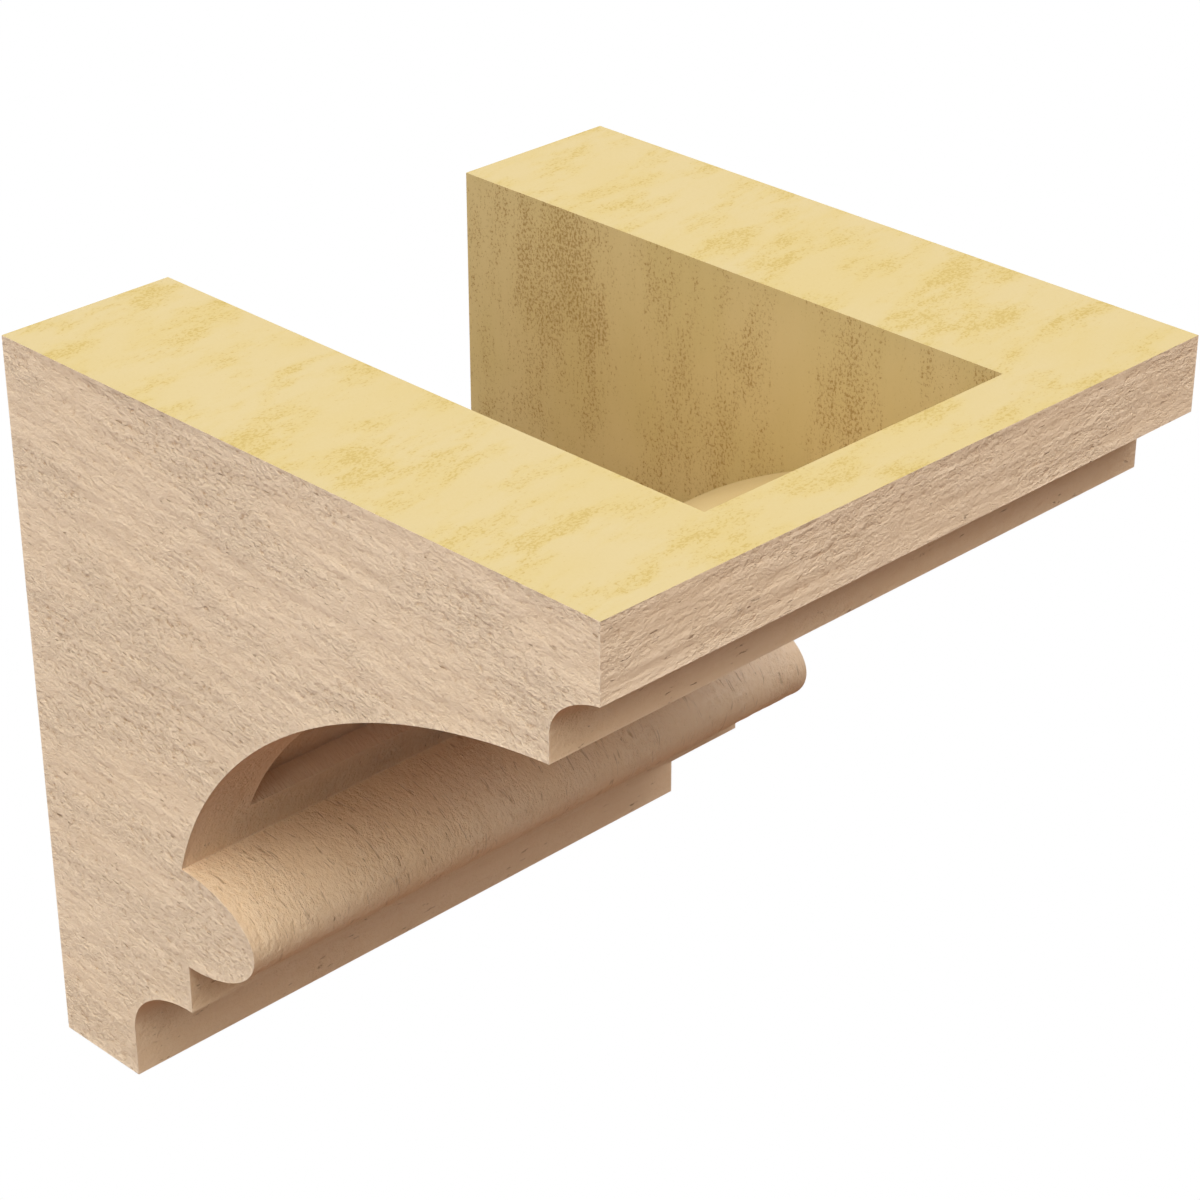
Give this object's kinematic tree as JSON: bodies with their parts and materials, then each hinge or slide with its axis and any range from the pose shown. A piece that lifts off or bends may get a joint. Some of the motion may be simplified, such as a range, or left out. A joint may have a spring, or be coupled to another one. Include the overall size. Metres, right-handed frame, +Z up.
{
  "type": "corbel",
  "caption": "Moulded faux-timber corbel with a fascia, an arched soffit with a sunk panel, a bead and a stepped foot, hollowed by a pocket open at the top and the wall.",
  "frame": {"origin": "on the wall plane, on the centre line, in the middle of the solid band at the foot (31.75 mm above the underside)", "axes": "+Z up, +Y into the wall so the corbel reaches towards -Y, +X to the right as a viewer faces the wall"},
  "size_m": [0.254, 0.254, 0.254],
  "materials": {
    "primed_skin": "matt tan primer over a rough-sawn timber texture; raw yellow foam on the top, the wall side and in the pocket"
  },
  "bodies": {
    "root": {"corbel_body": "primed_skin"}
  },
  "joints": []
}
